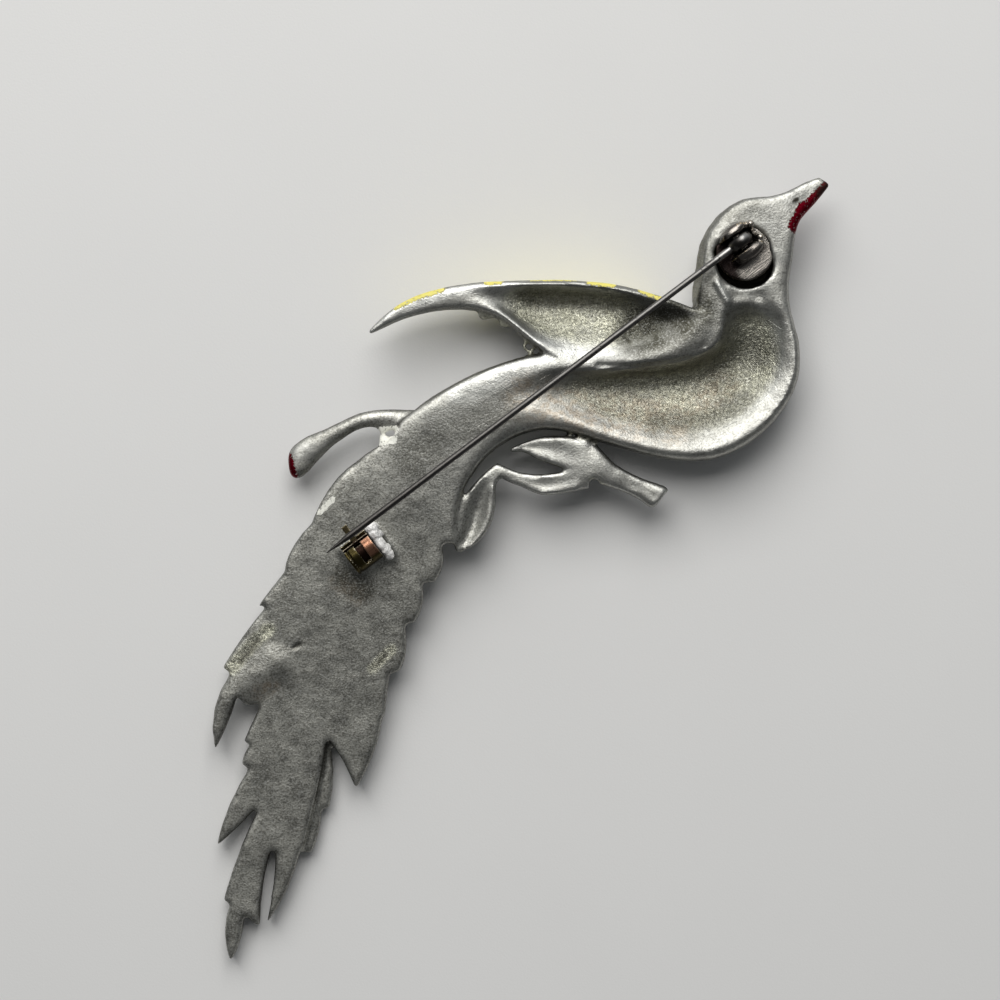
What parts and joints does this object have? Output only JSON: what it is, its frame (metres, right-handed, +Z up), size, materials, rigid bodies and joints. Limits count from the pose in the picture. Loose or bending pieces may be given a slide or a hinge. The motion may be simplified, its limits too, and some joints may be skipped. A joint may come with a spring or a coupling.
{
  "type": "figural animal brooch",
  "caption": "Cast white-metal figural bird brooch lying on its front, with a swinging pin and a turning safety catch on its hollowed back.",
  "frame": {"origin": "middle of the bounding box, at the level of the surface that the brooch lies on", "axes": "+X to the right and +Y towards the head as the back is seen from above, +Z up out of the back"},
  "size_m": [0.068, 0.0866, 0.0116],
  "materials": {
    "white_metal": "cast, dull grey, olive tarnish in the hollows, worn enamel at the edges",
    "dark_steel": "dark, browned",
    "pin_wire": "drawn wire, dull",
    "aged_brass": "aged, olive",
    "coppery_brass": "aged, reddish"
  },
  "bodies": {
    "brooch": {"casting": "white_metal", "joint_plate": "dark_steel", "joint_rivet": "dark_steel", "catch_barrel": "aged_brass"},
    "pin": {"pin_stem": "pin_wire"},
    "catch": {"catch_rotor": "coppery_brass"}
  },
  "joints": [
    {"name": "pin_hinge", "type": "hinge", "parent": "brooch", "child": "pin", "pos_m": [0.02414, 0.03597, 0.00864], "axis": [-0.6017, 0.7987, 0], "range_deg": [0, 120]},
    {"name": "catch_turn", "type": "hinge", "parent": "brooch", "child": "catch", "pos_m": [-0.01703, 0.00226, 0.0077], "axis": [0.7987, 0.6017, 0], "range_deg": [0, 125]}
  ]
}
